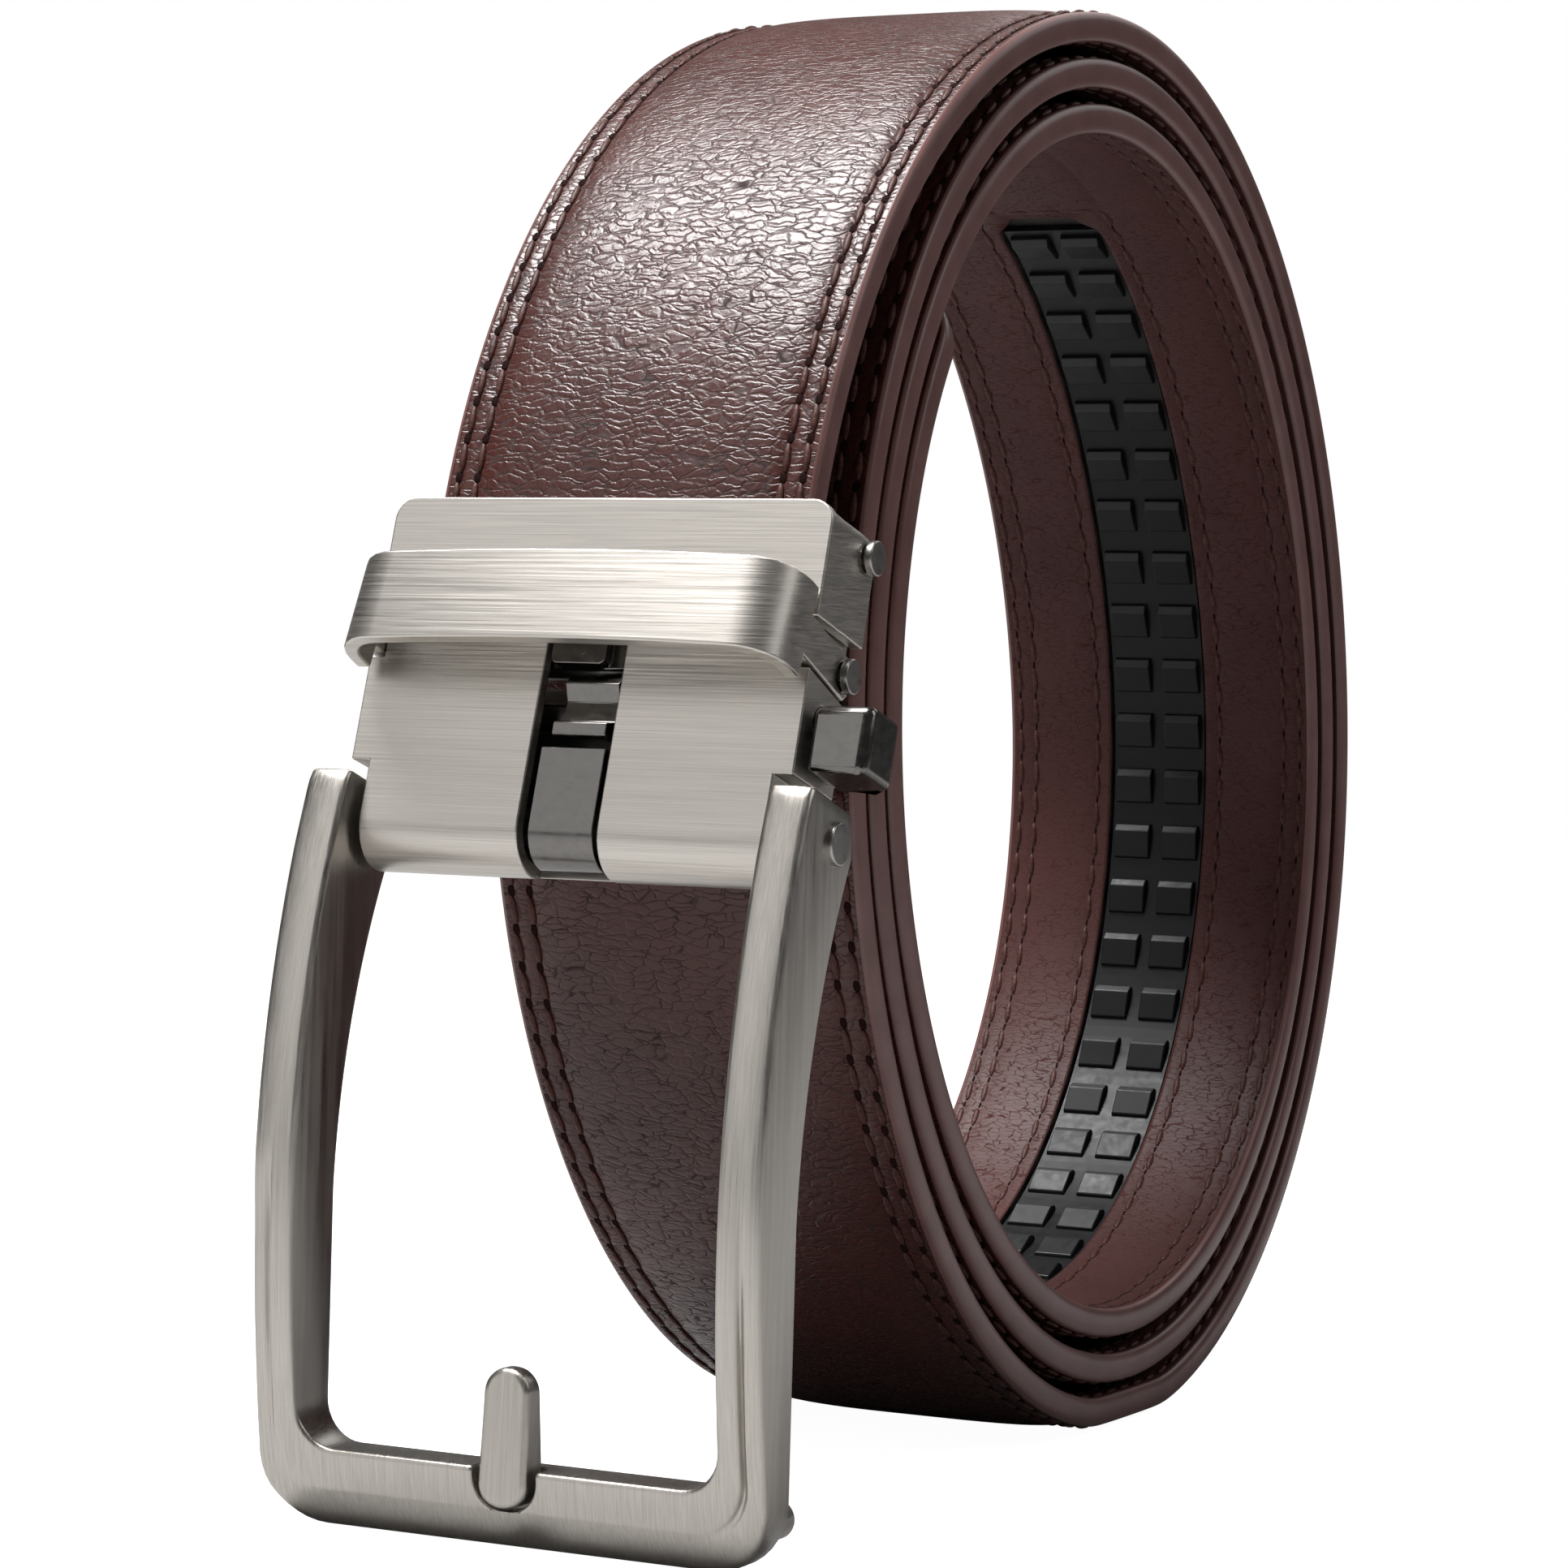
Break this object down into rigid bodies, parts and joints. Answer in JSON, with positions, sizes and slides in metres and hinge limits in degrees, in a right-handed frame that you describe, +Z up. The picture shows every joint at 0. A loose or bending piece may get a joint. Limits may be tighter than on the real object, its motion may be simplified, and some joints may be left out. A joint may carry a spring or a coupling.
{
  "type": "ratchet belt",
  "caption": "Leather ratchet belt rolled into a standing coil, with a toothed track in its lining and a hinged metal buckle frame in front.",
  "frame": {"origin": "centre of the belt's footprint, on the floor it stands on", "axes": "+Z up, X across the strap's width, -Y towards the front of the buckle"},
  "size_m": [0.05, 0.1558, 0.1356],
  "materials": {
    "leather": "satin, pebbled grain",
    "track": "satin",
    "brushed_metal": "brushed satin",
    "pin_metal": "satin",
    "smoked_metal": "polished, dark"
  },
  "bodies": {
    "belt": {"leather_strap": "leather", "ratchet_track": "track", "buckle_housing": "brushed_metal", "clamp_cover": "brushed_metal", "clamp_pin": "pin_metal", "keeper_pin": "pin_metal", "keeper_loop": "brushed_metal", "tongue_plate": "smoked_metal", "pawl_stop": "smoked_metal", "hinge_pin": "pin_metal"},
    "frame": {"buckle_frame": "brushed_metal", "prong": "brushed_metal"},
    "lever": {"release_lever": "smoked_metal", "pawl": "smoked_metal"}
  },
  "joints": [
    {"name": "frame_hinge", "type": "hinge", "parent": "belt", "child": "frame", "pos_m": [-0.00125, -0.06634, 0.0575], "axis": [1, 0, 0], "range_deg": [-14, 30]},
    {"name": "release_lever", "type": "hinge", "parent": "belt", "child": "lever", "pos_m": [-0.00125, -0.06383, 0.06698], "axis": [1, 0, 0], "range_deg": [0, 15], "stiffness_Nm_per_rad": 0.02, "springref_deg": -17.19}
  ]
}
